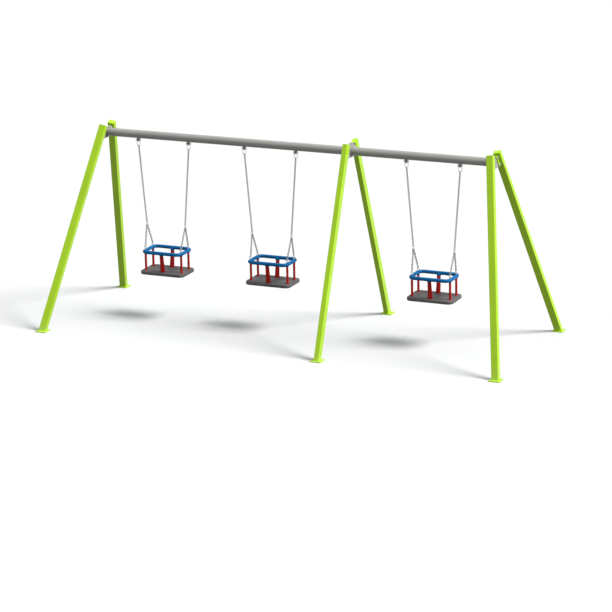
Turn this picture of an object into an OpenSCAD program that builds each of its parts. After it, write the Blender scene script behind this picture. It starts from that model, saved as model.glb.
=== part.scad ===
// Free-standing swing set with three toddler cradle seats.
// X runs along the beam, -Y is the front, Z is up. The origin is on the ground,
// in the middle of the feet. All lengths are in millimetres.

/* [Frame] */
// Height of the beam's axis above the ground
beam_z = 1820; // [1700:10:2200]
// Outer diameter of the beam tube
beam_d = 80; // [68:0.5:88]
// Wall of the beam tube
beam_wall = 3.6; // [2:0.1:5]
// Lean of each leg within its A-frame, in degrees from upright
leg_lean = 21.9; // [18:0.1:24]
// Outward splay of the two end frames, in degrees from upright
end_splay = 10.1; // [6:0.1:13]
// Wide side of the leg's rectangular tube
leg_wide = 70; // [60:1:80]
// Narrow side of the leg's rectangular tube
leg_thin = 50; // [42:1:56]
// Wall of the leg tube
leg_wall = 3; // [2:0.5:4]
// Outer corner radius of the leg tube
leg_corner = 5; // [4.5:0.5:8]
// Half of the gap between a frame's two legs, at the height of the beam's axis
leg_gap_half = 94; // [92:1:112]
// Height of the leg tops above the beam's axis
leg_top = 78; // [76:1:95]
// Thickness of the caps that close the leg tops
cap_t = 4; // [3:0.5:6]

/* [Swing places] */
// Distance from an end frame's head to the next swing's middle
end_offset = 615; // [560:5:740]
// Distance from the middle frame's head to the next swing's middle
mid_offset = 835; // [700:5:1000]
// Distance between the two swings that share the long bay
swing_pitch = 1130; // [1000:5:1350]

/* [Feet] */
// Length and width of the square foot plates
foot_size = 110; // [105:1:132]
// Thickness of the foot plates
foot_t = 8; // [6:0.5:12]
// Distance between neighbouring anchor holes
foot_hole_pitch = 80; // [78:1:90]
// Diameter of the anchor holes
foot_hole_d = 11; // [9:0.5:13]

/* [Head joints] */
// Thickness of the leg lugs and of the beam's end plates
plate_t = 8; // [6:0.5:10]
// How far the plates reach below the beam's axis
plate_down = 57; // [52:1:62]
// How far the end frames' plates reach above the beam's axis
plate_up_end = 52; // [48:1:60]
// How far the middle frame's plates reach above the beam's axis
plate_up_mid = 74; // [50:1:76]
// Width of the lug that stands off each leg's inner face
lug_w = 34; // [30:1:36]
// Thread diameter of the head bolts
head_bolt_d = 12; // [10:0.5:14]
// Height of the upper head bolts above the beam's axis
head_bolt_up = 30; // [26:1:36]
// Depth of the lower head bolts below the beam's axis
head_bolt_down = 38; // [32:1:42]

/* [Hangers] */
// Distance between a swing's two hangers
hanger_pitch = 538; // [460:2:640]
// Drop of the pivot pin's axis below the beam's underside
pin_drop = 18; // [17:0.5:24]
// Diameter of the pivot pin
pin_d = 10; // [8:0.5:10.5]
// Radial running clearance of the pin in its bush
pin_clear = 0.05; // [0.02:0.01:0.1]
// Wall of the flanged bush
bush_wall = 2; // [1.5:0.5:3]
// Thickness of the bush's flange
bush_flange = 1; // [0.5:0.1:1.5]
// Thickness of the hanger lug along the beam
hanger_w = 20; // [18:1:24]
// Radius of the hanger lug's round end
hanger_r = 15; // [13:0.5:18]
// Thickness of the shackle's ears, at least that of its rod
ear_t = 8; // [8:0.5:10]
// Radius of the shackle's ears
ear_r = 11; // [10:0.5:13]
// Diameter of the shackle's rod
shackle_rod = 8; // [6:0.5:8]
// Centreline radius of the shackle's bow
bow_r = 17; // [16.5:0.5:22]
// Distance from the pin's axis down to the bow's centre
bow_drop = 41.5; // [38:0.5:50]

/* [Chains] */
// Wire diameter of the chain links
link_wire = 6; // [5:0.1:6.2]
// Inner length of a link, which is the chain's pitch when taut
link_inner = 18.5; // [18:0.1:22.2]
// Outer width of a link
link_width = 20.4; // [20.2:0.1:22]
// Number of links in each main chain (an even number)
main_links = 42; // [30:2:50]
// Number of links in each bridle chain (an even number)
bridle_links = 12; // [10:2:16]
// Rod diameter of the apex ring that joins the bridles to the main chain
apex_rod = 7; // [6:0.5:7.5]
// Centreline radius of the apex ring
apex_r = 13; // [13:0.5:16]
// Distance between the two apex rings of a swing
apex_pitch = 414; // [390:2:500]
// Rod diameter of the eye bolts on the seat
eye_rod = 7; // [6:0.5:7.5]
// Centreline radius of the eye bolts' eyes
eye_r = 11.5; // [11:0.5:14]
// Height of an eye's centre above the seat ring's axis
eye_rise = 34; // [33:1:41]

/* [Seat] */
// Overall width of the seat ring
ring_x = 431; // [360:1:500]
// Overall depth of the seat ring
ring_y = 295; // [270:1:340]
// Diameter of the ring's tube
ring_d = 35; // [30:0.5:36]
// Centreline corner radius of the ring
ring_corner = 50; // [42:1:58]
// Drop of the base's top face below the ring's axis
base_drop = 190; // [165:1:228]
// Overall width of the rubber base
base_x = 468; // [440:1:560]
// Overall depth of the rubber base
base_y = 306; // [290:1:360]
// Thickness of the rubber base
base_t = 32; // [27:0.5:38]
// Corner radius of the base, seen from above
base_corner = 54; // [46:1:64]
// Rounding of the base's upper and lower edges
base_edge = 8; // [5:0.5:10]
// Diameter of the corner posts
post_d = 23; // [19:0.5:27]
// Top diameter of the two centre posts
centre_post_top = 36; // [30:0.5:42]
// Bottom diameter of the two centre posts
centre_post_foot = 46; // [38:0.5:54]
// How far the eyes and corner posts stand inside the end bars' centreline
eye_inset = 6; // [0:0.5:7]
// How far a centre post's top stands inside the long bar's centreline
centre_inset = 8; // [4:0.5:10]
// How far a centre post leans inwards from its top to its foot
centre_lean = 20; // [0:1:24]
// Diameter of the bolts that hold the centre posts to the base
seat_bolt_d = 8; // [6:0.5:9]
// Diameter of the washers under the seat bolts' heads
washer_d = 24; // [20:0.5:28]

/* [Hidden] */
$fn = 48;
// Gap between two pieces that touch in use but are free to move
touch_gap = 0.2;
// Free space around bolts and pins in the holes of their own body
hole_clear = 0.1;
// Free space around the head bolts
bolt_clear = 0.5;
// Side clearance between a bush's flange and the shackle's ear
ear_gap = 0.3;
// Gap between the beam's end plates and the legs
plate_gap = 3;
// How far a cutting tool runs past the face that it cuts
over = 1;
// Larger than any piece, for cutting by a half space
far = 4000;

FRAMES = ["left", "middle", "right"];
SIDES = ["front", "rear"];
SWINGS = ["left", "centre", "right"];
SIDE_SIGN = [-1, 1];

// Frame heads along X, and the splay of each frame
long_bay = end_offset + swing_pitch + mid_offset;
short_bay = mid_offset + end_offset;
head_x = [-(long_bay + short_bay) / 2, (long_bay - short_bay) / 2, (long_bay + short_bay) / 2];
splay = [end_splay, 0, -end_splay];
plate_up = [plate_up_end, plate_up_mid, plate_up_end];
swing_x = [head_x[0] + end_offset, head_x[0] + end_offset + swing_pitch, head_x[2] - end_offset];

// Leg tube: its side along the beam and its side within the frame's plane
leg_x = [leg_wide, leg_thin, leg_wide];
leg_n = [leg_thin, leg_wide, leg_thin];
// Slanted distance from the beam's axis to the ground, within a frame's plane
function drop(f) = beam_z / cos(splay[f]);
// A leg axis's distance from the frame's middle, at the beam's height and at the ground
function axis_y(f) = leg_gap_half + leg_n[f] / 2 / cos(leg_lean);
function foot_y(f) = axis_y(f) + drop(f) * tan(leg_lean);
function foot_x(f) = head_x[f] - beam_z * tan(splay[f]);
// A leg's inner face, as a distance from the frame's middle at height z over the axis
function inner_y(z) = leg_gap_half - z * tan(leg_lean);

// Foot plate
foot_corner = 8;

// Head joints: the lugs lie in the frame's plane, and the beam plates beside them.
// Nuts are 1.5 thread diameters across the flats and 0.8 of one thick.
lug_half = plate_t / 2;
plate_far = lug_half + plate_t;
beam_r = beam_d / 2;
bolt_heights = [head_bolt_up, -head_bolt_down];
head_washer_t = 2.5;
head_washer_r = head_bolt_d;
head_nut_af = head_bolt_d * 1.5;
head_nut_t = head_bolt_d * 0.8;
thread_over = 2;

// Hanger and shackle, measured from the pin's axis
pin_r = pin_d / 2;
pin_z = beam_z - beam_r - pin_drop;
bush_r = pin_r + pin_clear + bush_wall;
flange_over = 3;
flange_r = bush_r + flange_over;
ear_in = hanger_w / 2 + bush_flange + ear_gap;
ear_out = ear_in + ear_t;
ear_mid = (ear_in + ear_out) / 2;
rod_r = shackle_rod / 2;
rod_top = [ear_mid, -5];
bow_z = pin_z - bow_drop;
pin_nut_af = 16;
pin_nut_t = 7;

// Chain: one link is a stadium of wire
wire_r = link_wire / 2;
crown_r = (link_width - link_wire) / 2;
link_straight = link_inner + link_wire - 2 * crown_r;
link_pitch = link_inner - touch_gap;
function chain_length(n) = (n - 1) * link_pitch + link_inner + link_wire;

// Distance between the centres of a link's wire and of a rod of radius r that it hangs on
function seat_on(r) = wire_r + r + touch_gap;
apex_seat = seat_on(apex_rod / 2);
eye_seat = seat_on(eye_rod / 2);

// Main chain: its reach goes from the bow's centre to the apex ring's top wire
bow_reach = bow_r - seat_on(rod_r);
main_reach = bow_reach + chain_length(main_links) - apex_seat;
hanger_half = hanger_pitch / 2;
apex_half = apex_pitch / 2;
apex_top_z = bow_z - sqrt(pow(main_reach, 2) - pow(hanger_half - apex_half, 2));
apex_z = apex_top_z - apex_r;

// Bridle: its reach goes from the apex ring's wire to the top of the eye's wire. It
// hangs beside the ring's lowest point, so that the two first links lie side by side.
ring_half_x = (ring_x - ring_d) / 2;
ring_half_y = (ring_y - ring_d) / 2;
eye_x = ring_half_x - eye_inset;
eye_y = ring_half_y - ring_corner;
bridle_reach = chain_length(bridle_links) - apex_seat - eye_seat;
bridle_turn = asin((wire_r + touch_gap + apex_seat * eye_y / bridle_reach) / apex_r);
bridle_top_y = apex_r * sin(bridle_turn);
bridle_top_z = apex_z - apex_r * cos(bridle_turn);
bridle_out = norm([apex_half - eye_x, eye_y - bridle_top_y]);
eye_top_z = bridle_top_z - sqrt(pow(bridle_reach, 2) - pow(bridle_out, 2));
eye_z = eye_top_z - eye_r;

// Seat heights and post places
ring_z = eye_z - eye_rise;
base_top = ring_z - base_drop;
ring_r = ring_d / 2;
centre_top_y = ring_half_y - centre_inset;
centre_foot_y = centre_top_y - centre_lean;
EYES = [for (sx = [-1, 1]) for (sy = [-1, 1]) [sx * eye_x, sy * eye_y]];
CENTRE_TOPS = [for (sy = [-1, 1]) [0, sy * centre_top_y]];
CENTRE_FEET = [for (sy = [-1, 1]) [0, sy * centre_foot_y]];
collar_below = 7;
collar_drop = ring_r + collar_below;
collar_h = 2 * collar_below;
corner_collar_wall = 2.5;
centre_collar_wall = 3.5;
post_foot_h = 16;
post_foot_flare = 4;
post_h = base_drop - collar_drop;
bolt_depth = 45;
bolt_end_gap = 2;
seat_washer_t = 2;
seat_head_t = 5.5;
seat_head_af = seat_bolt_d * 1.625;
eye_shank_r = 4;
eye_collar_t = 3;
eye_nut_af = 13;
eye_nut_t = 6.5;
eye_rod_end = base_top - base_t - seat_washer_t - eye_nut_t - thread_over;

// ---- Places ----

// A frame's own plane: X is square to it, Z runs up along it from the beam's axis
module in_frame(f) {
    translate([head_x[f], 0, beam_z]) rotate([0, splay[f], 0]) children();
}

// A leg's own axis: Z runs up along it, with zero at the beam's height
module along_leg(f, s) {
    in_frame(f)
        translate([0, SIDE_SIGN[s] * axis_y(f), 0])
            rotate([SIDE_SIGN[s] * leg_lean, 0, 0])
                children();
}

module at_swing(i) {
    translate([swing_x[i], 0, 0]) children();
}

// Both hangers of a swing, with the origin on the pin's axis
module at_hangers(i) {
    at_swing(i) for (sx = [-1, 1]) translate([sx * hanger_half, 0, pin_z]) children();
}

// ---- Shapes ----

module rod_x(r, from, to) {
    translate([from, 0, 0]) rotate([0, 90, 0]) cylinder(r = r, h = to - from);
}

// A round rod between two points
module rod_between(a, b, r) {
    d = b - a;
    translate(a)
        rotate([0, acos(d[2] / norm(d)), atan2(d[1], d[0])])
            cylinder(r = r, h = norm(d));
}

// Part of a torus in the XY plane, counted from +X
module bend(radius, r, angle) {
    rotate_extrude(angle = angle) translate([radius, 0]) circle(r = r);
}

module round_rect(x, y, r) {
    square([x - 2 * r, y], center = true);
    square([x, y - 2 * r], center = true);
    for (sx = [-1, 1]) for (sy = [-1, 1])
        translate([sx * (x / 2 - r), sy * (y / 2 - r)]) circle(r = r);
}

// A hexagon nut or head with its flats af apart
module hexagon(af, t) {
    cylinder(r = af / 2 / cos(30), h = t, $fn = 6);
}

// ---- Frame ----

// The leg tube stands on its foot plate and is cut square at the top
module leg(f, s) {
    slack = 200;
    top = leg_top / cos(leg_lean) / cos(splay[f]);
    inside = leg_corner - leg_wall;
    color("yellowgreen") difference() {
        along_leg(f, s)
            translate([0, 0, top - drop(f) / cos(leg_lean) - slack])
                linear_extrude(drop(f) / cos(leg_lean) + slack)
                    difference() {
                        round_rect(leg_x[f], leg_n[f], leg_corner);
                        round_rect(leg_x[f] - 2 * leg_wall, leg_n[f] - 2 * leg_wall, inside);
                    }
        translate([-far, -far, foot_t - far]) cube([2 * far, 2 * far, far]);
    }
}

module foot_plate(f, s) {
    hole = foot_hole_pitch / 2;
    color("yellowgreen")
        translate([foot_x(f), SIDE_SIGN[s] * foot_y(f), 0]) difference() {
            linear_extrude(foot_t) round_rect(foot_size, foot_size, foot_corner);
            for (sx = [-1, 1]) for (sy = [-1, 1])
                translate([sx * hole, sy * hole, -over]) cylinder(d = foot_hole_d, h = foot_t + 2 * over);
        }
}

// A thin cap with rounded corners on each leg's square end
module leg_caps() {
    for (f = [0:2]) for (s = [0:1])
        color("yellowgreen") along_leg(f, s)
            translate([0, 0, leg_top / cos(leg_lean) / cos(splay[f])])
                linear_extrude(cap_t) round_rect(leg_x[f], leg_n[f], leg_corner);
}

// ---- Head joints ----

// A plate in the frame's plane: near and away are distances from the legs' inner faces
module head_outline(f, side, near, away) {
    heights = [-plate_down, plate_up[f]];
    rotate([90, 0, 90]) translate([0, 0, -lug_half]) linear_extrude(plate_t)
        polygon([
            [side * (inner_y(heights[0]) - near), heights[0]],
            [side * (inner_y(heights[0]) - away), heights[0]],
            [side * (inner_y(heights[1]) - away), heights[1]],
            [side * (inner_y(heights[1]) - near), heights[1]]
        ]);
}

module at_head_bolts() {
    for (side = [-1, 1]) for (z = bolt_heights)
        translate([0, side * (inner_y(z) - lug_w / 2), z]) children();
}

// Two lugs welded to the legs' inner faces
module head_lugs(f) {
    color("yellowgreen") in_frame(f) difference() {
        for (side = [-1, 1]) head_outline(f, side, 0, lug_w);
        at_head_bolts() rod_x(head_bolt_d / 2 + bolt_clear, -plate_t, plate_t);
    }
}

// The trapezoid plate on a beam's end, bolted against the lugs
module beam_plate(f, side) {
    heights = [-plate_down, plate_up[f]];
    halves = [for (z = heights) inner_y(z) - plate_gap];
    color("gray") in_frame(f) difference() {
        translate([side * plate_t, 0, 0])
            rotate([90, 0, 90]) translate([0, 0, -lug_half]) linear_extrude(plate_t)
                polygon([
                    [-halves[0], heights[0]], [halves[0], heights[0]],
                    [halves[1], heights[1]], [-halves[1], heights[1]]
                ]);
        at_head_bolts() rod_x(head_bolt_d / 2 + bolt_clear, -2 * plate_t, 2 * plate_t);
    }
}

// A beam tube between two frames, mitred to meet its end plates
module beam(f) {
    reach = 100;
    color("gray") difference() {
        translate([0, 0, beam_z]) rod_x(beam_r, head_x[f] - reach, head_x[f + 1] + reach);
        translate([0, 0, beam_z])
            rod_x(beam_r - beam_wall, head_x[f] - 2 * reach, head_x[f + 1] + 2 * reach);
        in_frame(f) translate([plate_far - far, -far / 2, -far / 2]) cube(far);
        in_frame(f + 1) translate([-plate_far, -far / 2, -far / 2]) cube(far);
    }
}

// Outer faces of the bolted stack, along the frame's own X
function stack_low(f) = f == 0 ? -lug_half : -plate_far;
function stack_high(f) = f == 2 ? lug_half : plate_far;

module head_bolts() {
    color("silver") for (f = [0:2]) in_frame(f) at_head_bolts() {
        high = stack_high(f) + head_washer_t;
        low = stack_low(f) - head_washer_t - head_nut_t - thread_over;
        rod_x(head_bolt_d / 2, low, high);
        translate([high, 0, 0]) rotate([0, 90, 0]) hexagon(head_nut_af, head_nut_t);
    }
}

// A washer under each head, and a washer and a nut at the other end
module head_nuts() {
    hole = head_bolt_d / 2 + hole_clear;
    nut_x = [for (f = [0:2]) stack_low(f) - head_washer_t - head_nut_t];
    color("silver") for (f = [0:2]) in_frame(f) at_head_bolts() difference() {
        union() {
            rod_x(head_washer_r, stack_high(f), stack_high(f) + head_washer_t);
            rod_x(head_washer_r, stack_low(f) - head_washer_t, stack_low(f));
            translate([nut_x[f], 0, 0]) rotate([0, 90, 0]) hexagon(head_nut_af, head_nut_t);
        }
        rod_x(hole, -far / 2, far / 2);
    }
}

// ---- Hangers ----

// A round-ended block welded under the beam
module hanger_lugs() {
    color("dimgray") for (i = [0:2]) at_hangers(i) difference() {
        union() {
            rod_x(hanger_r, -hanger_w / 2, hanger_w / 2);
            translate([-hanger_w / 2, -hanger_r, 0]) cube([hanger_w, 2 * hanger_r, pin_drop + beam_r / 2]);
        }
        translate([0, 0, pin_drop + beam_r]) rod_x(beam_r, -hanger_w, hanger_w);
        rod_x(bush_r, -hanger_w, hanger_w);
    }
}

// Two flanged half bushes pressed into each block from its sides
module hanger_bushes() {
    edge = hanger_w / 2;
    color("black") for (i = [0:2]) at_hangers(i) for (sx = [0, 1]) mirror([sx, 0, 0]) difference() {
        union() {
            rod_x(bush_r, touch_gap / 2, edge);
            rod_x(flange_r, edge, edge + bush_flange);
        }
        rod_x(pin_r + pin_clear, -hanger_w, hanger_w);
    }
}

module hanger_pins(i) {
    color("silver") at_hangers(i) {
        rod_x(pin_r, -ear_out - pin_nut_t - thread_over, ear_out);
        translate([ear_out, 0, 0]) rotate([0, 90, 0]) hexagon(pin_nut_af, pin_nut_t);
        translate([-ear_out - pin_nut_t, 0, 0]) rotate([0, 90, 0]) hexagon(pin_nut_af, pin_nut_t);
    }
}

// A bow shackle: two ears on the pin, and a rod that runs down and round
module shackles(i) {
    color("silver") at_hangers(i) difference() {
        union() {
            for (sx = [0, 1]) mirror([sx, 0, 0]) {
                rod_x(ear_r, ear_in, ear_out);
                translate([rod_top[0], 0, rod_top[1]]) sphere(r = rod_r);
                rod_between([rod_top[0], 0, rod_top[1]], [bow_r, 0, -bow_drop], rod_r);
                translate([bow_r, 0, -bow_drop]) sphere(r = rod_r);
            }
            translate([0, 0, -bow_drop]) rotate([-90, 0, 0]) bend(bow_r, rod_r, 180);
        }
        rod_x(pin_r + hole_clear, -2 * ear_out, 2 * ear_out);
    }
}

// ---- Chains ----

// One link in the XZ plane, centred on the origin and long along Z
module chain_link() {
    half = link_straight / 2;
    for (sz = [0, 1]) mirror([0, 0, sz])
        translate([0, 0, half]) rotate([90, 0, 0]) bend(crown_r, wire_r, 180);
    for (sx = [-1, 1])
        translate([sx * crown_r, 0, -half]) cylinder(r = wire_r, h = link_straight);
}

// A taut chain of n links from point a towards point b. The wire of its first crown is
// centred on a; turned = 0 puts the first link across X, and 1 puts it along X.
module chain(a, b, n, turned) {
    d = b - a;
    lean_x = atan2(d[0], norm([d[1], d[2]]));
    lean_y = atan2(d[1], -d[2]);
    first = (link_inner + link_wire) / 2;
    translate(a) rotate([lean_y, 0, 0]) rotate([0, -lean_x, 0])
        for (k = [0:n - 1])
            translate([0, 0, -first - k * link_pitch])
                rotate([0, 0, (k + turned) % 2 == 0 ? 90 : 0]) chain_link();
}

// The point that lies t along the way from a to b
function towards(a, b, t) = a + (b - a) / norm(b - a) * t;

module main_chains(i) {
    color("silver") at_swing(i) for (sx = [-1, 1]) {
        bow = [sx * hanger_half, 0, bow_z];
        apex_top = [sx * apex_half, 0, apex_top_z];
        chain(towards(bow, apex_top, bow_reach), apex_top, main_links, 0);
    }
}

module apex_rings(i) {
    color("silver") at_swing(i) for (sx = [-1, 1])
        translate([sx * apex_half, 0, apex_z]) rotate([0, 90, 0]) bend(apex_r, apex_rod / 2, 360);
}

module bridle_chains(i) {
    color("silver") at_swing(i) for (sx = [-1, 1]) for (sy = [-1, 1]) {
        from = [sx * apex_half, sy * bridle_top_y, bridle_top_z];
        to = [sx * eye_x, sy * eye_y, eye_top_z];
        chain(towards(from, to, -apex_seat), to, bridle_links, 1);
    }
}

// ---- Seat ----

// Eye bolts: a long rod runs from each eye through the ring, its post and the base
module seat_eyes(i) {
    color("silver") at_swing(i) for (p = EYES) translate([p[0], p[1], 0]) {
        translate([0, 0, eye_z]) rotate([90, 0, 0]) bend(eye_r, eye_rod / 2, 360);
        translate([0, 0, eye_rod_end]) cylinder(r = eye_shank_r, h = eye_z - eye_r - eye_rod_end);
        translate([0, 0, ring_z + ring_r]) cylinder(r = 2 * eye_shank_r, h = eye_collar_t);
    }
}

// The padded ring: a tube round a rectangle, with a collar over each post
module seat_ring(i) {
    run_x = ring_half_x - ring_corner;
    run_y = ring_half_y - ring_corner;
    color("royalblue") at_swing(i) translate([0, 0, ring_z]) difference() {
        union() {
            for (sy = [-1, 1]) translate([0, sy * ring_half_y, 0]) rod_x(ring_r, -run_x, run_x);
            for (sx = [-1, 1]) translate([sx * ring_half_x, -run_y, 0])
                rotate([-90, 0, 0]) cylinder(r = ring_r, h = 2 * run_y);
            for (q = [0:3])
                translate([(q % 3 == 0 ? 1 : -1) * run_x, (q < 2 ? 1 : -1) * run_y, 0])
                    rotate([0, 0, 90 * q]) bend(ring_corner, ring_r, 90);
            for (p = EYES) translate([p[0], p[1], -collar_drop])
                cylinder(r = post_d / 2 + corner_collar_wall, h = collar_h);
            for (p = CENTRE_TOPS) translate([p[0], p[1], -collar_drop])
                cylinder(r = centre_post_top / 2 + centre_collar_wall, h = collar_h);
        }
        for (p = EYES) translate([p[0], p[1], -ring_d])
            cylinder(r = eye_shank_r + hole_clear, h = 2 * ring_d);
    }
}

// Corner posts are tubes with flared feet, round the eye bolts' rods
module corner_posts(i) {
    color("firebrick") at_swing(i) for (p = EYES) translate([p[0], p[1], base_top]) difference() {
        union() {
            cylinder(d = post_d, h = post_h);
            cylinder(r1 = post_d / 2 + post_foot_flare, r2 = post_d / 2, h = post_foot_h);
        }
        translate([0, 0, -over]) cylinder(r = eye_shank_r + hole_clear, h = post_h + 2 * over);
    }
}

// A centre post's diameter at height z over the base
function centre_post_d(z) = centre_post_foot + (centre_post_top - centre_post_foot) * z / post_h;

// Centre posts lean out to the ring, and are cut level at the base and at the collar
module centre_posts(i) {
    spare = 20;
    color("firebrick") at_swing(i) for (k = [0:1])
        translate([0, CENTRE_FEET[k][1], base_top]) difference() {
            rotate([-SIDE_SIGN[k] * atan(centre_lean / post_h), 0, 0])
                translate([0, 0, -spare])
                    cylinder(d1 = centre_post_d(-spare), d2 = centre_post_d(post_h + spare),
                             h = post_h + 2 * spare);
            translate([-far / 2, -far / 2, -far]) cube(far);
            translate([-far / 2, -far / 2, post_h]) cube(far);
            translate([0, 0, -over]) cylinder(d = seat_bolt_d + 2 * hole_clear, h = bolt_depth + over);
        }
}

// Half of the base's rounded section, from its inner side out to x
module base_section(x) {
    square([x - base_edge, base_t]);
    translate([0, base_edge]) square([x, base_t - 2 * base_edge]);
    for (y = [base_edge, base_t - base_edge])
        translate([x - base_edge, y]) circle(r = base_edge);
}

// The rubber slab: a box, four straight edges and four turned corners
module seat_base(i) {
    run_x = base_x / 2 - base_corner;
    run_y = base_y / 2 - base_corner;
    color("dimgray") at_swing(i) translate([0, 0, base_top - base_t]) difference() {
        union() {
            translate([-run_x, -run_y, 0]) cube([2 * run_x, 2 * run_y, base_t]);
            for (side = [0, 180]) rotate([0, 0, side]) {
                translate([run_x, run_y, 0]) rotate([90, 0, 0])
                    linear_extrude(2 * run_y) base_section(base_corner);
                translate([-run_x, run_y, 0]) rotate([90, 0, 90])
                    linear_extrude(2 * run_x) base_section(base_corner);
                translate([run_x, run_y, 0])
                    rotate_extrude(angle = 90) base_section(base_corner);
                translate([-run_x, run_y, 0]) rotate([0, 0, 90])
                    rotate_extrude(angle = 90) base_section(base_corner);
            }
        }
        for (p = concat(EYES, CENTRE_FEET)) translate([p[0], p[1], -over])
            cylinder(d = seat_bolt_d + 2 * hole_clear, h = base_t + 2 * over);
    }
}

// Under the base: a bolt and a washer for each centre post, a nut and a washer for each rod
module seat_bolts(i) {
    color("silver") at_swing(i) translate([0, 0, base_top - base_t]) {
        for (p = CENTRE_FEET) translate([p[0], p[1], 0]) {
            cylinder(d = seat_bolt_d, h = base_t + bolt_depth - bolt_end_gap);
            translate([0, 0, -seat_washer_t]) cylinder(d = washer_d, h = seat_washer_t);
            translate([0, 0, -seat_washer_t - seat_head_t]) hexagon(seat_head_af, seat_head_t);
        }
        for (p = EYES) translate([p[0], p[1], -seat_washer_t]) difference() {
            union() {
                cylinder(d = washer_d, h = seat_washer_t);
                translate([0, 0, -eye_nut_t]) hexagon(eye_nut_af, eye_nut_t);
            }
            translate([0, 0, -eye_nut_t - over])
                cylinder(r = eye_shank_r + hole_clear, h = eye_nut_t + seat_washer_t + 2 * over);
        }
    }
}

// ---- Assembly ----

for (f = [0:2]) {
    for (s = [0:1]) {
        leg(f, s);
        foot_plate(f, s);
    }
    head_lugs(f);
}
leg_caps();
beam(0);  // beam_long
beam(1);  // beam_short
beam_plate(0, 1);  // beam_plate_left
beam_plate(1, -1);  // beam_plate_middle_left
beam_plate(1, 1);  // beam_plate_middle_right
beam_plate(2, -1);  // beam_plate_right
head_bolts();
head_nuts();
hanger_lugs();
hanger_bushes();
for (i = [0:2]) {
    hanger_pins(i);
    shackles(i);
    main_chains(i);
    apex_rings(i);
    bridle_chains(i);
    seat_eyes(i);
    seat_ring(i);
    corner_posts(i);
    centre_posts(i);
    seat_base(i);
    seat_bolts(i);
}
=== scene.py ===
# %% [markdown]
# # A playground swing set, finished in Blender
# The steel frame, the hangers and every joint come from the CAD model, which is loaded first and
# never moved. This notebook gives each piece its finish, and replaces the pieces whose charm is in
# soft or fine shapes: the chains, the moulded seat rings, the posts and the rubber seats. It also
# adds the weld beads. Every new surface is a formula, worked out as whole numpy arrays.

import math

import bmesh
import bpy
import numpy as np
from mathutils import Matrix, Vector


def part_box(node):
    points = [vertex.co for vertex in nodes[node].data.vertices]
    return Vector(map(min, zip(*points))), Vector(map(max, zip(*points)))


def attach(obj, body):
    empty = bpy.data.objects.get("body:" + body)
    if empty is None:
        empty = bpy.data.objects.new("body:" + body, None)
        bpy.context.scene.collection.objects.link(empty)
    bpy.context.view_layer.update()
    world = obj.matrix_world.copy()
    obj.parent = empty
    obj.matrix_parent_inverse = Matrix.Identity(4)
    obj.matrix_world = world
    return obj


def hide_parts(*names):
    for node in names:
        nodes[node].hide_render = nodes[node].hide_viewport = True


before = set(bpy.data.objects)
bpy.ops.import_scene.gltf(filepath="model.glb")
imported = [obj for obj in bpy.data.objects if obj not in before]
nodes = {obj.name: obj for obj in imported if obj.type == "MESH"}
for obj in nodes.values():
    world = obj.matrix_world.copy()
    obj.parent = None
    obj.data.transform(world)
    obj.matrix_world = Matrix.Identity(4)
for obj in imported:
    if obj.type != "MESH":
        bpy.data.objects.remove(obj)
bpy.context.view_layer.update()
FRAMES = ["left", "middle", "right"]
SIDES = ["front", "rear"]
SWINGS = ["left", "centre", "right"]
MM = 0.001

# %% [markdown]
# ## The camera
# A large object is shown from far away with a long lens, because a near camera makes parallel
# tubes run together. The camera is placed by the direction it looks along, its distance and a
# small roll, so each number can be read by itself.

# %% Camera
AIM = np.array([0.075, 0.0, 0.257])
AZIMUTH, ELEVATION, ROLL = np.radians([24.12, 15.75, -1.11])
DISTANCE = 29.95
LENS_MM = 183.4

across = np.array([math.cos(AZIMUTH), math.sin(AZIMUTH), 0.0])
back = np.array([math.sin(AZIMUTH) * math.cos(ELEVATION),
                 -math.cos(AZIMUTH) * math.cos(ELEVATION), math.sin(ELEVATION)])
up = np.cross(back, across)
picture_x = math.cos(ROLL) * across + math.sin(ROLL) * up
picture_y = -math.sin(ROLL) * across + math.cos(ROLL) * up

camera = bpy.data.objects.new("camera", bpy.data.cameras.new("camera"))
placed = np.eye(4)
placed[:3, :3] = np.stack([picture_x, picture_y, back], 1)
placed[:3, 3] = AIM + DISTANCE * back
camera.matrix_world = Matrix(placed.tolist())
camera.data.lens = LENS_MM
camera.data.clip_end = 200
bpy.context.scene.collection.objects.link(camera)
bpy.context.scene.camera = camera
print("camera at", np.round(placed[:3, 3], 2))

# %% [markdown]
# ## Floor and light
# The floor is plain, pale and large enough to fill the picture. The key is a sun: its light has the
# same strength everywhere, so a large floor stays evenly pale, and a wide sun disc gives soft
# shadows. It stands high on the right, which makes the right-hand faces the brightest. The sky is
# pale above and dark below. A pale floor would light the undersides of the tubes as strongly as the
# sky lights their tops, and the round beam would look flat, so the floor keeps its light to itself
# and the dark half of the sky shades them.

# %% Floor, key and sky
FLOOR_SIDE = 160
KEY_FROM = Vector((1.06, 0.12, 1.22))
KEY_STRENGTH, KEY_DISC = 5.1, math.radians(24)
SKY_ABOVE, SKY_BELOW = (0.77, 0.78, 0.80, 1), (0.21, 0.21, 0.21, 1)

key = bpy.data.lights.new("key", "SUN")
key.energy, key.angle = KEY_STRENGTH, KEY_DISC
key_object = bpy.data.objects.new("key", key)
key_object.rotation_euler = KEY_FROM.to_track_quat("Z", "Y").to_euler()
bpy.context.scene.collection.objects.link(key_object)

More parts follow.
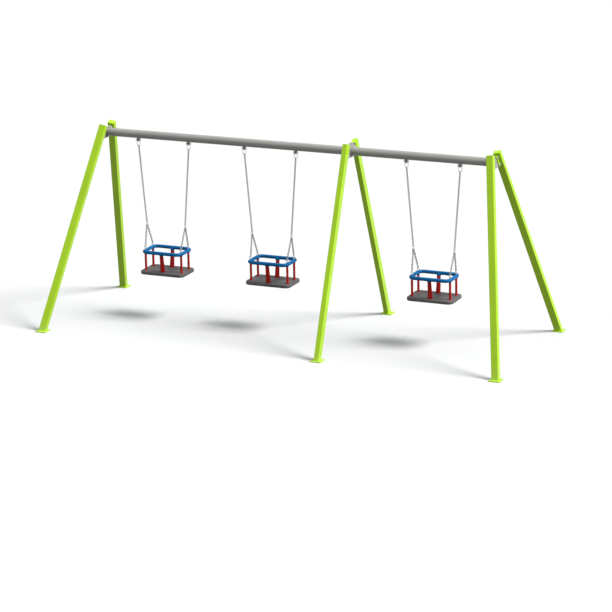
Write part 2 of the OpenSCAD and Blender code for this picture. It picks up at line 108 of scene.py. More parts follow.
sky = bpy.data.worlds.new("sky")
sky.use_nodes = True
sky_nodes, sky_links = sky.node_tree.nodes, sky.node_tree.links
direction = sky_nodes.new("ShaderNodeTexCoord")
height = sky_nodes.new("ShaderNodeSeparateXYZ")
tones = sky_nodes.new("ShaderNodeValToRGB")
tones.color_ramp.elements[0].position, tones.color_ramp.elements[0].color = 0.0, SKY_BELOW
tones.color_ramp.elements[1].position, tones.color_ramp.elements[1].color = 0.08, SKY_ABOVE
sky_links.new(direction.outputs["Generated"], height.inputs[0])
sky_links.new(height.outputs[2], tones.inputs[0])
sky_links.new(tones.outputs[0], sky_nodes["Background"].inputs["Color"])
bpy.context.scene.world = sky
bpy.context.scene.view_settings.view_transform = "Standard"

floor_mesh = bpy.data.meshes.new("floor")
half = FLOOR_SIDE / 2
floor_mesh.from_pydata([(-half, -half, 0), (half, -half, 0), (half, half, 0), (-half, half, 0)],
                       [], [(0, 1, 2, 3)])
floor = bpy.data.objects.new("floor", floor_mesh)
floor.visible_diffuse = False
bpy.context.scene.collection.objects.link(floor)
print("floor", FLOOR_SIDE, "m square")

# %% [markdown]
# ## Shader sums written as sums
# A material's pattern is arithmetic on numbers that change over the surface. `Wire` holds one
# output socket, and Python's own operators add the Math nodes, so `1 - mask` reads as it should.
# Every other kind of node comes from the one method `add`.


# %% The Wire class
class Wire:
    """One socket of a node tree that can be used in sums."""

    def __init__(self, tree, socket=None):
        self.tree, self.socket = tree, socket

    def add(self, kind, settings=None, inputs=None, out=0):
        """A new node: its settings first, then its sockets' values or links. Returns one output."""
        made = self.tree.nodes.new("ShaderNode" + kind)
        for name, value in (settings or {}).items():
            setattr(made, name, value)
        for name, value in (inputs or {}).items():
            if isinstance(value, Wire):
                self.tree.links.new(value.socket, made.inputs[name])
            else:
                made.inputs[name].default_value = value
        return Wire(self.tree, made.outputs[out])

    def _sum(self, operation, a, b):
        return self.add("Math", {"operation": operation}, {0: a, 1: b})

    def __add__(self, other):
        return self._sum("ADD", self, other)

    __radd__ = __add__

    def __mul__(self, other):
        return self._sum("MULTIPLY", self, other)

    __rmul__ = __mul__

    def __sub__(self, other):
        return self._sum("SUBTRACT", self, other)

    def __rsub__(self, other):
        return self._sum("SUBTRACT", other, self)


def limit(value, low, high):
    """The value rises from 0 at low to 1 at high, and stays between them."""
    return value.add("MapRange", {"interpolation_type": "SMOOTHSTEP"},
                     {"Value": value, "From Min": low, "From Max": high})


def noise(place, scale, detail=2.0, roughness=0.5):
    """Cloudy noise from 0 to 1, with features about 1 / scale metres wide."""
    return place.add("TexNoise", None, {"Vector": place, "Scale": scale, "Detail": detail,
                                        "Roughness": roughness})


def mixed(share, first, second):
    """The first colour where share is 0, and the second where it is 1."""
    return share.add("Mix", {"data_type": "RGBA"}, {0: share, 6: first, 7: second}, out=2)


def material(name, recipe, **fixed):
    """A Principled material. The recipe links what varies, and fixed names the other sockets."""
    made = bpy.data.materials.new(name)
    made.use_nodes = True
    tree = made.node_tree
    shader = tree.nodes["Principled BSDF"]
    for socket, value in fixed.items():
        shader.inputs[socket.replace("_", " ")].default_value = value
    place = Wire(tree).add("TexCoord", out=3)
    for socket, value in recipe(place).items():
        tree.links.new(value.socket, shader.inputs[socket])
    return made


def bumped(height, distance):
    """A normal that follows a height pattern, distance metres from its low to its high points."""
    return height.add("Bump", None, {"Height": height, "Distance": distance, "Strength": 1.0})


print("shader helpers ready")

# %% [markdown]
# ## Powder coat
# The legs and the beam are powder coated: coloured dust is baked onto the steel and melts to a
# skin like fine orange peel. So the recipe has a tiny bump about 2 mm wide, a slow drift in tone,
# small dull rub marks, and dust that settles on the lowest part of the legs.


# %% Powder coat
def powder_coat(name, colour, worn, dusty):
    """Orange-peel paint in a colour, with worn marks and a dusty foot."""
    def recipe(place):
        peel = noise(place, 420, 1.0)
        drift = noise(place, 3.1, 3.0)
        rubs = limit(noise(place, 24, 6.0, 0.72), 0.60, 0.78)
        height = place.add("SeparateXYZ", None, {0: place}, out=2)
        dust = (1 - limit(height, 0.0, 0.16)) * limit(noise(place, 30, 4.0), 0.35, 0.70)
        body = mixed(limit(drift, 0.30, 0.70), [0.93 * c for c in colour] + [1], list(colour) + [1])
        body = mixed(rubs * 0.35, body, list(worn) + [1])
        body = mixed(dust * 0.35, body, list(dusty) + [1])
        rough = 0.34 + rubs * 0.16 + dust * 0.25 + drift * 0.06
        return {"Base Color": body, "Roughness": rough, "Normal": bumped(peel + rubs * 0.3, 0.00012)}
    return material(name, recipe, Specular_IOR_Level=0.3)


leg_green = powder_coat("leg_green", (0.36, 0.60, 0.012), (0.30, 0.48, 0.03), (0.38, 0.36, 0.20))
beam_grey = powder_coat("beam_grey", (0.265, 0.265, 0.243), (0.33, 0.33, 0.31), (0.30, 0.28, 0.22))
print("powder coats:", leg_green.name, beam_grey.name)

# %% [markdown]
# ## Zinc
# Bolts, shackles and rings are bright zinc, smooth with a faint cloud. The chains are hot-dip
# galvanised: the zinc freezes in crystals, which show as flakes of slightly different grey, and
# it is duller. Voronoi cells make the flakes.


# %% Zinc finishes
def bright_zinc(place):
    """Pale metal with a slow cloud in its tone, and fine marks that are duller and slightly raised."""
    cloud = noise(place, 60, 4.0)
    marks = limit(noise(place, 260, 5.0, 0.7), 0.50, 0.75)
    body = mixed(cloud, (0.52, 0.54, 0.56, 1), (0.74, 0.74, 0.73, 1))
    return {"Base Color": body, "Roughness": 0.26 + cloud * 0.12 + marks * 0.15,
            "Normal": bumped(marks, 0.00005)}


def dull_zinc(place):
    """Flakes that each have one tone and one dullness, under larger brownish stains."""
    flakes = place.add("TexVoronoi", None, {"Vector": place, "Scale": 420.0}, out=1)
    flake = place.add("SeparateColor", None, {0: flakes}, out=0)
    stain = limit(noise(place, 45, 5.0, 0.65), 0.45, 0.80)
    body = mixed(flake, (0.24, 0.25, 0.26, 1), (0.42, 0.43, 0.43, 1))
    body = mixed(stain * 0.4, body, (0.22, 0.21, 0.20, 1))
    return {"Base Color": body, "Roughness": 0.40 + flake * 0.14 + stain * 0.12,
            "Normal": bumped(flake, 0.00006)}


zinc_plate = material("zinc_plate", bright_zinc, Metallic=0.85)
galvanised = material("galvanised_chain", dull_zinc, Metallic=0.70)
print("zinc:", zinc_plate.name, galvanised.name)

# %% [markdown]
# ## Moulded plastic and rubber
# The ring and the posts are moulded in coloured plastic with a fine spark-eroded grain, so that
# they don't glare. Small hands polish them, which shows as smoother patches. The seat is black
# rubber that the sun has greyed, with a coarser grain and small pale raised specks.


# %% Plastic and rubber
def moulding(name, colour):
    """Coloured plastic with a fine grain, smoother where it is polished and paler where scuffed."""
    def recipe(place):
        grain = noise(place, 900, 2.0)
        polish = limit(noise(place, 18, 4.0), 0.42, 0.66)
        scuff = limit(noise(place, 130, 6.0, 0.75), 0.62, 0.76)
        body = mixed(polish, list(colour) + [1], [1.12 * c for c in colour] + [1])
        body = mixed(scuff * 0.06, body, [0.7 * c + 0.08 for c in colour] + [1])
        rough = 0.52 - polish * 0.10 + scuff * 0.15
        return {"Base Color": body, "Roughness": rough, "Normal": bumped(grain, 0.00006)}
    return material(name, recipe, Specular_IOR_Level=0.12)


def seat_rubber_recipe(place):
    """Dark rubber with a pale bloom in large patches and small raised specks."""
    grain = noise(place, 700, 3.0, 0.65)
    bloom = limit(noise(place, 9, 4.0), 0.35, 0.70)
    speck = limit(noise(place, 330, 1.0), 0.64, 0.72)
    body = mixed(bloom, (0.071, 0.066, 0.065, 1), (0.102, 0.095, 0.093, 1))
    body = mixed(speck * 0.4, body, (0.17, 0.16, 0.155, 1))
    return {"Base Color": body, "Roughness": 0.66 + bloom * 0.12 + speck * 0.1,
            "Normal": bumped(grain + speck * 0.5, 0.00018)}


def bush_recipe(place):
    """Nearly black bearing plastic with a faint grain."""
    grain = noise(place, 1200, 2.0)
    return {"Base Color": mixed(grain, (0.012, 0.012, 0.013, 1), (0.03, 0.03, 0.032, 1)),
            "Roughness": 0.45 + grain * 0.15}


ring_blue = moulding("ring_blue", (0.0, 0.094, 0.26))
post_red = moulding("post_red", (0.34, 0.010, 0.006))
seat_rubber = material("seat_rubber", seat_rubber_recipe, Specular_IOR_Level=0.35)
bush_black = material("bush_black", bush_recipe)
print("plastics:", ring_blue.name, post_red.name, seat_rubber.name, bush_black.name)


# %% Floor finish
def floor_recipe(place):
    """An even pale grey with a drift that is hardly seen."""
    tone = noise(place, 0.35, 2.0)
    return {"Base Color": mixed(tone, (0.50, 0.50, 0.50, 1), (0.515, 0.515, 0.515, 1))}


floor.data.materials.append(material("pale_floor", floor_recipe, Roughness=0.9))
print("floor finish ready")

# %% [markdown]
# ## Skins
# A surface with two directions is a stack of rings: one direction runs round each ring, the other
# from ring to ring. Where the last ring should close, a single pole point is added and joined with
# triangles. One function makes the faces for every piece here, so they all point outwards.


# %% Skins and pieces
def skin(rings, closed=False, poles=None):
    """Points and faces of a stack of rings, shaped (rings, points, 3). Each ring turns by the right
    hand about the direction of the stack. closed joins the last ring to the first, and poles are
    the two points that close its ends."""
    rings = np.asarray(rings, float)
    count, sides = rings.shape[:2]
    i = np.arange(count if closed else count - 1)[:, None]
    j = np.arange(sides)[None, :]
    i2, j2 = (i + 1) % count, (j + 1) % sides
    quads = np.stack([i * sides + j, i * sides + j2, i2 * sides + j2, i2 * sides + j], -1)
    points, faces = rings.reshape(-1, 3), quads.reshape(-1, 4).tolist()
    if poles is not None:
        first, last = len(points), len(points) + 1
        k, k2 = np.arange(sides), (np.arange(sides) + 1) % sides
        end = (count - 1) * sides
        faces += np.stack([np.full(sides, first), k2, k], -1).tolist()
        faces += np.stack([np.full(sides, last), end + k, end + k2], -1).tolist()
        points = np.vstack([points, np.asarray(poles, float)])
    return points, faces


def joined(shapes):
    """Several (points, faces) as one."""
    starts = np.cumsum([0] + [len(points) for points, _ in shapes])
    faces = [[v + start for v in face] for (_, many), start in zip(shapes, starts) for face in many]
    return np.vstack([points for points, _ in shapes]), faces


def piece(name, shape, finish, body, slot, *replaced):
    """A smooth-shaded object that rides on a body, in one finish, standing for CAD nodes."""
    points, faces = shape
    mesh = bpy.data.meshes.new(name)
    mesh.from_pydata(np.asarray(points).tolist(), [], faces)
    mesh.shade_smooth()
    mesh.materials.append(finish)
    made = bpy.data.objects.new(name, mesh)
    bpy.context.scene.collection.objects.link(made)
    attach(made, body)
    if replaced:
        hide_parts(*replaced)
    return made


def carried(path, radius, sides, normal):
    """A round rod carried along a closed path: point plus radius times (cos v out + sin v side),
    where out is square to the path and to the normal. radius has a value for each point."""
    ahead = np.roll(path, -1, 0) - np.roll(path, 1, 0)
    ahead /= np.linalg.norm(ahead, axis=1, keepdims=True)
    out = np.cross(ahead, normal)
    out /= np.linalg.norm(out, axis=1, keepdims=True)
    side = np.cross(ahead, out)
    v = np.linspace(0, 2 * math.pi, sides, endpoint=False)[None, :, None]
    rings = path[:, None] + radius[:, None, None] * (np.cos(v) * out[:, None] + np.sin(v) * side[:, None])
    return skin(rings, closed=True)


def turned(radii, heights, sides):
    """A shape off the lathe: a radius for each height, round the Z axis, closed at both ends."""
    v = np.linspace(0, 2 * math.pi, sides, endpoint=False)[None, :]
    radii, heights = np.asarray(radii, float)[:, None], np.asarray(heights, float)[:, None]
    rings = np.stack([radii * np.cos(v), radii * np.sin(v), heights + 0 * v], -1)
    return skin(rings, poles=((0, 0, heights[0, 0]), (0, 0, heights[-1, 0])))


def moved(shape, offset):
    """The same faces with every point shifted."""
    return shape[0] + np.asarray(offset, float), shape[1]


print("shape helpers ready")

# %% [markdown]
# ## Pieces that stay as they were designed
# Tubes, bolts and rings already have their true shape in the frame. They only need a finish, which
# goes into the node's material slots. Names that share a beginning share a finish.

# %% Finishes for the frame's own pieces
KEPT = {"leg_": leg_green, "beam_": beam_grey, "head_bolts": zinc_plate, "head_nuts": zinc_plate,
        "hanger_pins": zinc_plate, "shackles": zinc_plate, "apex_rings": zinc_plate,
        "seat_eyes": zinc_plate, "seat_bolts": zinc_plate, "hanger_bushes": bush_black,
        "foot_plate": leg_green, "head_lugs": leg_green, "hanger_lugs": beam_grey,
        "main_chains": galvanised, "bridle_chains": galvanised, "seat_ring": ring_blue,
        "corner_posts": post_red, "centre_posts": post_red, "seat_base": seat_rubber}
for start, finish in KEPT.items():
    found = [node for name, node in nodes.items() if name.startswith(start)]
    for node in found:
        node.data.materials.clear()
        node.data.materials.append(finish)
    print(f"{start:14s} {len(found):2d} nodes in {finish.name}")

# %% [markdown]
# ## Eased plates
# A flame-cut plate has its edges ground before it is painted, and paint pulls back from a sharp
# edge anyway. So each plate is copied from its CAD node, its loose triangles are welded and its
# flat faces merged, and a Bevel modifier rounds every edge that turns more than 40 degrees.


# %% Eased copies of the plates
def eased(node, radius, finish, body):
    """A copy of a CAD node with its sharp edges rounded to a radius."""
    mesh = nodes[node].data.copy()
    build = bmesh.new()
    build.from_mesh(mesh)
    bmesh.ops.remove_doubles(build, verts=build.verts, dist=1e-6)
    bmesh.ops.dissolve_limit(build, angle_limit=math.radians(1), verts=build.verts,
                             edges=build.edges)
    build.to_mesh(mesh)
    build.free()
    made = bpy.data.objects.new("eased_" + node, mesh)
    bpy.context.scene.collection.objects.link(made)
    bevel = made.modifiers.new("ease", "BEVEL")
    bevel.width, bevel.segments, bevel.angle_limit = radius, 2, math.radians(40)
    bevel.harden_normals = True
    mesh.materials.clear()
    mesh.materials.append(finish)
    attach(made, body)
    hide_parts(node)
    return made


EDGE = 1.2 * MM
for f in FRAMES:
    for s in SIDES:
        eased(f"foot_plate_{s}_{f}", EDGE, leg_green, "root")
    eased(f"head_lugs_{f}", EDGE, leg_green, "root")
eased("leg_caps", EDGE, leg_green, "root")
for name in ("left", "middle_left", "middle_right", "right"):
    eased(f"beam_plate_{name}", EDGE, beam_grey, "root")
eased("hanger_lugs", EDGE, beam_grey, "root")
print("15 plates and blocks eased by", EDGE / MM, "mm")

# %% [markdown]
# ## Chains
# A short-link chain is bent from round wire and welded on one straight side, which leaves a small
# swelling. There are hundreds of links, so one link is a light surface: a six-sided wire carried
# round a stadium of thirteen stations. All links of a chain are placed at once by multiplying the
# one link with a stack of turning matrices.

# %% One link
LINK_WIRE, LINK_INNER, LINK_WIDTH = 6 * MM, 18.5 * MM, 20.4 * MM
MAIN_LINKS, BRIDLE_LINKS = 42, 12
WELD_SWELL = 1.16


def link_shape():
    """One link in the XZ plane, long along Z. Its path is two half circles and two straights; the
    surface is the path point plus the wire's radius times (cos v outwards + sin v along Y)."""
    crown = (LINK_WIDTH - LINK_WIRE) / 2
    straight = LINK_INNER + LINK_WIRE - 2 * crown
    turn = np.radians([0, 45, 90, 135, 180, 180, 180, 180, 180, 225, 270, 315, 360])
    lift = np.array([1, 1, 1, 1, 1, 0.35, 0, -0.35, -1, -1, -1, -1, -1]) * straight / 2
    swell = np.where(np.abs(lift) < straight / 4, WELD_SWELL, 1.0)
    out = np.stack([np.cos(turn), 0 * turn, np.sin(turn)], -1)
    path = crown * out + lift[:, None] * np.array([0, 0, 1.0])
    v = np.radians(np.arange(0, 360, 60))[None, :, None]
    wire = (LINK_WIRE / 2 * swell)[:, None, None]
    rings = path[:, None] + wire * (np.cos(v) * out[:, None] + np.sin(v) * np.array([0, 1.0, 0]))
    return skin(rings, closed=True)


link_points, link_faces = link_shape()
print("one link:", len(link_points), "points,", len(link_faces), "faces")

# %% Chains between two rods
TOUCH = 0.2 * MM
SLACK_TWIST = 2.5
dice = np.random.default_rng(11)


def seat_on(rod):
    """Distance between the middle of a link's wire and the middle of the rod it hangs on."""
    return (LINK_WIRE + rod) / 2 + TOUCH


def chain(top, top_rod, low, low_rod, count, along_x):
    """Links hung between two rods. The first link's plane holds X where along_x is True, and each
    next link is turned a quarter, give or take a little slack twist."""
    top, low = np.asarray(top, float), np.asarray(low, float)
    reach = np.linalg.norm(low - top)
    down = (low - top) / reach
    pitch = (reach + seat_on(top_rod) + seat_on(low_rod) - LINK_INNER - LINK_WIRE) / (count - 1)
    first = (LINK_INNER + LINK_WIRE) / 2 - seat_on(top_rod)
    middles = top + down * (first + pitch * np.arange(count))[:, None]
    x_axis = np.array([1.0, 0, 0]) - down[0] * down
    x_axis /= np.linalg.norm(x_axis)
    y_axis = np.cross(down, x_axis)
    turn = np.radians(90.0 * ((np.arange(count) + (0 if along_x else 1)) % 2)
                      + dice.normal(0, SLACK_TWIST, count))[:, None]
    wide = np.cos(turn) * x_axis + np.sin(turn) * y_axis
    flat = -np.sin(turn) * x_axis + np.cos(turn) * y_axis
    axes = np.stack([wide, flat, np.broadcast_to(down, wide.shape)], 1)
    points = np.einsum("pi,lij->lpj", link_points, axes) + middles[:, None]
    return [(some, link_faces) for some in points]


print("chains can be hung")

# %% [markdown]
# ## Hanging the chains in the frame
# The rods that carry the chains are measured in the frame: the lowest point of a shackle's bow, the
# apex ring and the eye bolts. A bridle starts beside the apex ring's lowest point, so that the front
# and the rear bridle lie side by side in it.

# %% Where each swing hangs
SHACKLE_ROD, BOW_R = 8 * MM, 17 * MM
APEX_ROD, EYE_ROD, EYE_R, EYE_COLLAR_R = 7 * MM, 7 * MM, 11.5 * MM, 8 * MM


def half_size(node):
    """Half of a node's size along X and Y."""
    low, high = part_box(node)
    return (high[0] - low[0]) / 2, (high[1] - low[1]) / 2


def middle(node):
    """The middle of a node's box."""
    low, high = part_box(node)
    return (np.array(low) + np.array(high)) / 2


swing_x = {s: middle(f"apex_rings_{s}")[0] for s in SWINGS}
hanger_half = half_size("shackles_left")[0] - BOW_R - SHACKLE_ROD / 2
bow_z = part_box("shackles_left")[0][2] + SHACKLE_ROD / 2 + BOW_R
apex_half = half_size("apex_rings_left")[0] - APEX_ROD / 2
apex_r = half_size("apex_rings_left")[1] - APEX_ROD / 2
apex_z = middle("apex_rings_left")[2]
eye_x = half_size("seat_eyes_left")[0] - EYE_R - EYE_ROD / 2
eye_y = half_size("seat_eyes_left")[1] - EYE_COLLAR_R
eye_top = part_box("seat_eyes_left")[1][2] - EYE_ROD / 2
print(f"hangers {2 * hanger_half:.3f} m apart, apex rings at {apex_z:.3f} m")
print(f"eyes at {eye_x:.4f}, {eye_y:.4f} m from the middle of a seat")

# %% Hang all chains
bridle_reach = (BRIDLE_LINKS - 1) * (LINK_INNER - TOUCH) + LINK_INNER + LINK_WIRE \
    - seat_on(APEX_ROD) - seat_on(EYE_ROD)
bridle_turn = math.asin((LINK_WIRE / 2 + TOUCH + seat_on(APEX_ROD) * eye_y / bridle_reach) / apex_r)
for s in SWINGS:
    mains, bridles = [], []
    for sx in (-1, 1):
        bow = np.array([swing_x[s] + sx * hanger_half, 0, bow_z])
        apex = np.array([swing_x[s] + sx * apex_half, 0, apex_z])
        apex_top = apex + (0, 0, apex_r)
        towards = (apex_top - bow) / np.linalg.norm(apex_top - bow)
        mains += chain(bow + BOW_R * towards, SHACKLE_ROD, apex_top, APEX_ROD, MAIN_LINKS, False)
        for sy in (-1, 1):
            hold = apex + apex_r * np.array([0, sy * math.sin(bridle_turn), -math.cos(bridle_turn)])
            eye = np.array([swing_x[s] + sx * eye_x, sy * eye_y, eye_top])
            bridles += chain(hold, APEX_ROD, eye, EYE_ROD, BRIDLE_LINKS, True)
    piece(f"main_chain_pair_{s}", joined(mains), galvanised, f"swing_{s}", "galvanised_chain",
          f"main_chains_{s}")
    piece(f"bridle_chain_set_{s}", joined(bridles), galvanised, f"seat_{s}", "galvanised_chain",
          f"bridle_chains_{s}")
    print(s, "swing:", len(mains), "main links and", len(bridles), "bridle links")

# %% [markdown]
# ## The seat ring
# The ring is a soft tube bent round a rectangle. It is moulded in one with a socket over each post
# and a flat pad under each eye bolt, and the mould has no sharp inner corners, so everything melts
# together. Booleans would leave hard seams. Instead the shape is a distance formula: the tube and
# the sockets each give a distance, and a smooth minimum blends them. For every point of the skin, a
# ray leaves the tube's centre line and is shortened until that distance is zero.


# %% Distances that melt together
def smooth_min(a, b, reach):
    """The smaller of two distances, rounded where they differ by less than reach."""
    share = np.clip(0.5 + 0.5 * (b - a) / reach, 0, 1)
    return b + (a - b) * share - reach * share * (1 - share)


def stub_distance(points, x, y, radius, low, high, ease):
    """Distance to an upright round stub from height low to high, with its edges eased."""
    out = np.hypot(points[..., 0] - x, points[..., 1] - y) - radius + ease
    over = np.abs(points[..., 2] - (low + high) / 2) - (high - low) / 2 + ease
    outside = np.hypot(np.maximum(out, 0), np.maximum(over, 0))
    return np.minimum(np.maximum(out, over), 0) + outside - ease


def round_loop(half_x, half_y, corner, along):
    """Point and outward direction at a distance along a rectangle with round corners. It starts on
    the right side's low end and runs anticlockwise; the second half mirrors the first."""
    run_x, run_y, arc = half_x - corner, half_y - corner, corner * math.pi / 2
    half = 2 * (run_x + run_y + arc)
    mirror = np.where(along % (2 * half) < half, 1.0, -1.0)[..., None]
    t = along % half
    rise = np.clip(t, 0, 2 * run_y)
    first = np.clip(t - 2 * run_y, 0, arc) / corner
    back_x = np.clip(t - 2 * run_y - arc, 0, 2 * run_x)
    second = np.clip(t - 2 * run_y - arc - 2 * run_x, 0, arc) / corner
    out = np.stack([np.cos(first + second), np.sin(first + second)], -1)
    centre = np.stack([run_x - back_x, rise - run_y], -1)
    return mirror * (centre + corner * out), mirror * out


def loop_length(half_x, half_y, corner):
    """The whole way round: four straights and one full circle."""
    return 4 * (half_x + half_y - 2 * corner) + 2 * math.pi * corner


print("distance helpers ready")

# %% The ring's own sizes
RING_D, RING_CORNER = 35 * MM, 50 * MM
SOCKET_BELOW, SOCKET_EASE, MELT = 7 * MM, 2 * MM, 3 * MM
CORNER_SOCKET_R, CENTRE_SOCKET_R, EYE_PAD_R = 13.5 * MM, 20 * MM, 10 * MM
CENTRE_INSET, CENTRE_LEAN = 8 * MM, 20 * MM
RING_STEPS, RING_SIDES = 560, 40
RAY_START, RAY_ROUNDS, RAY_SHARE = 2.2, 40, 0.8
ring_r = RING_D / 2
ring_x, ring_y = (size - ring_r for size in half_size("seat_ring_left"))
ring_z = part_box("seat_ring_left")[1][2] - ring_r
corner_places = [(sx * eye_x, sy * eye_y) for sx in (-1, 1) for sy in (-1, 1)]
centre_top_y = ring_y - CENTRE_INSET
centre_foot_y = centre_top_y - CENTRE_LEAN
print(f"ring {2 * ring_x:.3f} by {2 * ring_y:.3f} m at {ring_z:.3f} m")


# %% The ring
def ring_distance(points, loop):
    """Distance to the tube, melted with the post sockets below and the eye pads through it."""
    tube = np.hypot(np.linalg.norm(points[..., :2] - loop, axis=-1), points[..., 2]) - ring_r
    socket_low = -ring_r - SOCKET_BELOW
    for x, y in corner_places:
        stub = stub_distance(points, x, y, CORNER_SOCKET_R, socket_low, 0, SOCKET_EASE)
        tube = smooth_min(tube, stub, MELT)
    for sy in (-1, 1):
        stub = stub_distance(points, 0, sy * centre_top_y, CENTRE_SOCKET_R, socket_low, 0, SOCKET_EASE)
        tube = smooth_min(tube, stub, MELT)
    for x, y in corner_places:
        pad = stub_distance(points, x, y, EYE_PAD_R, -ring_r, ring_r, SOCKET_EASE)
        tube = smooth_min(tube, pad, MELT / 4)
    return tube


def ring_shape():
    """Rays leave the centre line at angle v, as cos v outwards - sin v upwards. They start outside
    the skin, and in each round their length shrinks by a share of the distance left."""
    along = np.linspace(0, loop_length(ring_x, ring_y, RING_CORNER), RING_STEPS, endpoint=False)
    loop, out = round_loop(ring_x, ring_y, RING_CORNER, along)
    v = np.linspace(0, 2 * math.pi, RING_SIDES, endpoint=False)
    ray = np.concatenate([np.cos(v)[None, :, None] * out[:, None],
                          np.zeros((RING_STEPS, RING_SIDES, 1))], -1)
    ray[..., 2] -= np.sin(v)
    start = np.concatenate([loop, np.zeros((RING_STEPS, 1))], -1)[:, None]
    length = np.full((RING_STEPS, RING_SIDES, 1), RAY_START * ring_r)
    for _ in range(RAY_ROUNDS):
        length -= RAY_SHARE * ring_distance(start + length * ray, loop[:, None])[..., None]
    return skin(start + length * ray, closed=True)


ring_points, ring_faces = ring_shape()
for s in SWINGS:
    piece(f"moulded_ring_{s}", moved((ring_points, ring_faces), (swing_x[s], 0, ring_z)), ring_blue,
          f"seat_{s}", "blue_moulding", f"seat_ring_{s}")
print("ring:", len(ring_points), "points")

# %% [markdown]
# ## Posts
# The posts come out of a two-part mould, so they are turned shapes: a radius for every height. A
# corner post is slim, with a flared foot that spreads the load on the rubber, and an eye bolt's rod
# runs through it. The centre posts are thicker and widen downwards, and they lean out to the ring,
# so that a child can't slide forwards. Their rims are rounded.


# %% Posts
POST_R, FOOT_FLARE, FOOT_H = 11.5 * MM, 4 * MM, 16 * MM
CENTRE_TOP_R, CENTRE_FOOT_R = 18 * MM, 23 * MM
RIM = 1.5 * MM
POST_SIDES, CENTRE_SIDES = 40, 56
base_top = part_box("corner_posts_left")[0][2]
post_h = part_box("corner_posts_left")[1][2] - base_top
heights = np.concatenate([RIM * (1 - np.cos(np.linspace(0, math.pi / 2, 5))),
                          np.linspace(RIM, FOOT_H, 12)[1:], np.linspace(FOOT_H, post_h, 12)[1:]])
rim = np.sqrt(np.clip(RIM ** 2 - np.clip(RIM - heights, 0, None) ** 2, 0, None)) - RIM


def corner_post():
    """Radius = the post's own, plus a flare that fades with the square of the height left to its
    top, less the rim's rounding at the very bottom."""
    fade = np.clip(1 - heights / FOOT_H, 0, 1) ** 2
    return turned(POST_R + FOOT_FLARE * fade + rim, heights, POST_SIDES)


def centre_post(side):
    """Radius falls evenly from the foot to the top. A post leans out by CENTRE_LEAN over its height:
    its rings stay level, and each shifts in proportion to its height."""
    even = CENTRE_FOOT_R + (CENTRE_TOP_R - CENTRE_FOOT_R) * heights / post_h
    points, faces = turned(even + rim, heights, CENTRE_SIDES)
    points[:, 1] += side * CENTRE_LEAN * points[:, 2] / post_h
    return points, faces


for s in SWINGS:
    corners = [moved(corner_post(), (swing_x[s] + x, y, base_top)) for x, y in corner_places]
    centres = [moved(centre_post(sy), (swing_x[s], sy * centre_foot_y, base_top)) for sy in (-1, 1)]
    piece(f"moulded_corner_posts_{s}", joined(corners), post_red, f"seat_{s}", "red_moulding",
          f"corner_posts_{s}")
    piece(f"moulded_centre_posts_{s}", joined(centres), post_red, f"seat_{s}", "red_moulding",
          f"centre_posts_{s}")
print(f"posts {post_h:.3f} m high")

# %% [markdown]
# ## The rubber seat
# The slab is one skin: rings shaped like its outline spread from the middle of the top, turn over
# the rounded rim and close in again underneath. The top is dished a little where a child sits, and
# the underside is hollowed to save weight. Low lozenges give grip. They are separate small domes,
# each sunk into the slab, because a pattern that fine would need a very dense skin.

# %% The seat slab
BASE_CORNER, BASE_EDGE = 54 * MM, 8 * MM
DISH, DISH_X, DISH_Y = 2.5 * MM, 0.74, 0.50
SLAB_SIDES, TOP_RINGS, RIM_STEPS = 240, 26, 12
base_x, base_y = half_size("seat_base_left")
base_low, base_high = (corner[2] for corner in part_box("seat_base_left"))
base_t = base_high - base_low


def dish(x, y):
    """Depth of the hollow: full in the middle, and gone at DISH_X and DISH_Y of the half sizes, which
    is before the posts' feet. In between it falls with the fourth power of the distance."""
    across_x = np.clip(1 - (x / (DISH_X * base_x)) ** 4, 0, 1)
    across_y = np.clip(1 - (y / (DISH_Y * base_y)) ** 4, 0, 1)
    return DISH * across_x * across_y


def slab():
    """Rings of the outline, scaled from the middle to the rim, then half a circle over the rim, and
    back. They turn the left way round, because the stack of rings runs down through the slab."""
    side = np.linspace(0, loop_length(base_x - BASE_EDGE, base_y - BASE_EDGE, BASE_CORNER - BASE_EDGE),
                       SLAB_SIDES, endpoint=False)[::-1]
    line, out = round_loop(base_x - BASE_EDGE, base_y - BASE_EDGE, BASE_CORNER - BASE_EDGE, side)
    scale = np.linspace(0.02, 1, TOP_RINGS)[:, None, None]
    flat = scale * line
    top = np.concatenate([flat, (base_t - dish(flat[..., 0], flat[..., 1]))[..., None]], -1)
    low = np.concatenate([flat, dish(flat[..., 0], flat[..., 1])[..., None]], -1)[::-1]
    turn = np.linspace(math.pi / 2, -math.pi / 2, RIM_STEPS + 2)[1:-1, None]
    lift = np.where(turn > 0, base_t - BASE_EDGE, BASE_EDGE) + BASE_EDGE * np.sin(turn)
    edge = line + (BASE_EDGE * np.cos(turn))[..., None] * out
    rim_rings = np.concatenate([edge, np.broadcast_to(lift[..., None], edge.shape[:2] + (1,))], -1)
    poles = ((0, 0, base_t - DISH), (0, 0, DISH))
    return skin(np.concatenate([top, rim_rings, low]), poles=poles)


slab_points, slab_faces = slab()
print("slab:", len(slab_points), "points, height", round(slab_points[:, 2].max(), 4))

# %% Grip lozenges
GRIP_PITCH, GRIP_LONG, GRIP_WIDE = 19 * MM, 6.2 * MM, 3.1 * MM
GRIP_HIGH, GRIP_SINK, GRIP_CLEAR, GRIP_SPREAD = 0.9 * MM, 0.8 * MM, 2 * MM, 0.70


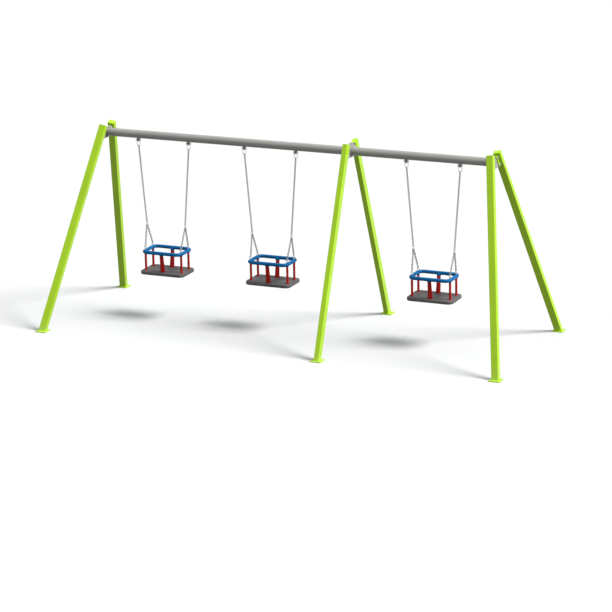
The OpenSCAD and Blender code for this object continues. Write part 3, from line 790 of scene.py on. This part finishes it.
def lozenge():
    """A low dome over a pointed outline: |x| / long + |y| / wide = 1, with its point rounded by
    taking the sum of 1.4th powers. Rings climb from the sunk foot to the top."""
    v = np.linspace(0, 2 * math.pi, 12, endpoint=False)
    reach = (np.abs(np.cos(v)) ** 1.4 + np.abs(np.sin(v)) ** 1.4) ** (-1 / 1.4)
    outline = np.stack([GRIP_LONG * reach * np.cos(v), GRIP_WIDE * reach * np.sin(v)], -1)
    scale, lift = np.array([1.0, 0.92, 0.6]), np.array([-GRIP_SINK, GRIP_HIGH * 0.6, GRIP_HIGH])
    rings = np.concatenate([scale[:, None, None] * outline,
                            np.broadcast_to(lift[:, None, None], (3, 12, 1))], -1)
    return skin(rings, poles=((0, 0, -GRIP_SINK), (0, 0, GRIP_HIGH)))


def grip_places():
    """Rows of lozenges over the seat well, every other row shifted by half a pitch and turned. None
    comes near a centre post's foot."""
    rows, columns = np.meshgrid(np.arange(-4, 5), np.arange(-8, 9), indexing="ij")
    x = (columns + 0.5 * (rows % 2)) * GRIP_PITCH
    y = rows * GRIP_PITCH
    from_post = np.hypot(x, np.abs(y) - centre_foot_y)
    keep = (np.abs(x) < GRIP_SPREAD * base_x) & (from_post > CENTRE_FOOT_R + GRIP_LONG + GRIP_CLEAR)
    return x[keep], y[keep], rows[keep] % 2


lozenge_points, lozenge_faces = lozenge()
grip_x, grip_y, grip_turn = grip_places()
grips = []
for x, y, quarter in zip(grip_x, grip_y, grip_turn):
    points = lozenge_points[:, [1, 0, 2]] * (-1, 1, 1) if quarter else lozenge_points
    grips.append(moved((points, lozenge_faces), (x, y, base_t - dish(x, y))))
seat_shape = joined([(slab_points, slab_faces)] + grips)
for s in SWINGS:
    piece(f"rubber_seat_{s}", moved(seat_shape, (swing_x[s], 0, base_low)), seat_rubber, f"seat_{s}",
          "seat_rubber", f"seat_base_{s}")
print(len(grips), "lozenges on each seat")

# %% [markdown]
# ## Weld beads
# Where steel meets steel, a welder leaves a bead: a small rounded ridge with ripples where the pool
# froze, painted over with the rest. A bead is a rod carried along the seam, and its radius rises
# and falls a little. The seam is found in the frame: it is the outline of a leg's lower end, which
# stands on its foot plate.

# %% Seams and beads
BEAD_R, RIPPLE, RIPPLE_PITCH = 2.6 * MM, 0.10, 3.2 * MM
BEAD_STEP, BEAD_SIDES = 1.6 * MM, 7
LEVEL, ABREAST, OUTER = 0.01 * MM, 0.12, 0.93


def walked(corners):
    """Points every BEAD_STEP along a closed line of corners, and how far along it each one lies."""
    line = np.vstack([corners, corners[:1]])
    lengths = np.linalg.norm(np.diff(line, axis=0), axis=1)
    total = np.concatenate([[0], np.cumsum(lengths)])
    at = np.linspace(0, total[-1], int(total[-1] / BEAD_STEP), endpoint=False)
    return np.stack([np.interp(at, total, line[:, k]) for k in range(3)], -1), at


def bead(corners):
    """A rippled rod round a level seam. Its radius is BEAD_R times 1 + RIPPLE sin(distance / pitch)."""
    path, at = walked(corners)
    radius = BEAD_R * (1 + RIPPLE * np.sin(2 * math.pi * at / RIPPLE_PITCH))
    return carried(path, radius, BEAD_SIDES, (0, 0, 1.0))


def foot_seam(leg):
    """The outer corners of a leg's lower end, in order round it. A point is an outer one if it lies
    nearly as far from the middle as the furthest point in about the same direction."""
    points = np.array([v.co for v in nodes[leg].data.vertices], float)
    points = np.unique(np.round(points[points[:, 2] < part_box(leg)[0][2] + LEVEL], 6), axis=0)
    away = points - points.mean(0)
    angle = np.arctan2(away[:, 1], away[:, 0])
    order = np.argsort(angle)
    points, angle = points[order], angle[order]
    distance = np.linalg.norm(points - points.mean(0), axis=1)
    outer = np.array([distance[i] > OUTER * distance[np.abs(angle - angle[i]) < ABREAST].max()
                      for i in range(len(points))])
    return points[outer]


print("bead helpers ready")

# %% Beads at the feet
for f in FRAMES:
    for s in SIDES:
        piece(f"foot_bead_{s}_{f}", bead(foot_seam(f"leg_{s}_{f}")), leg_green, "root", "green_paint")
print("six foot beads")
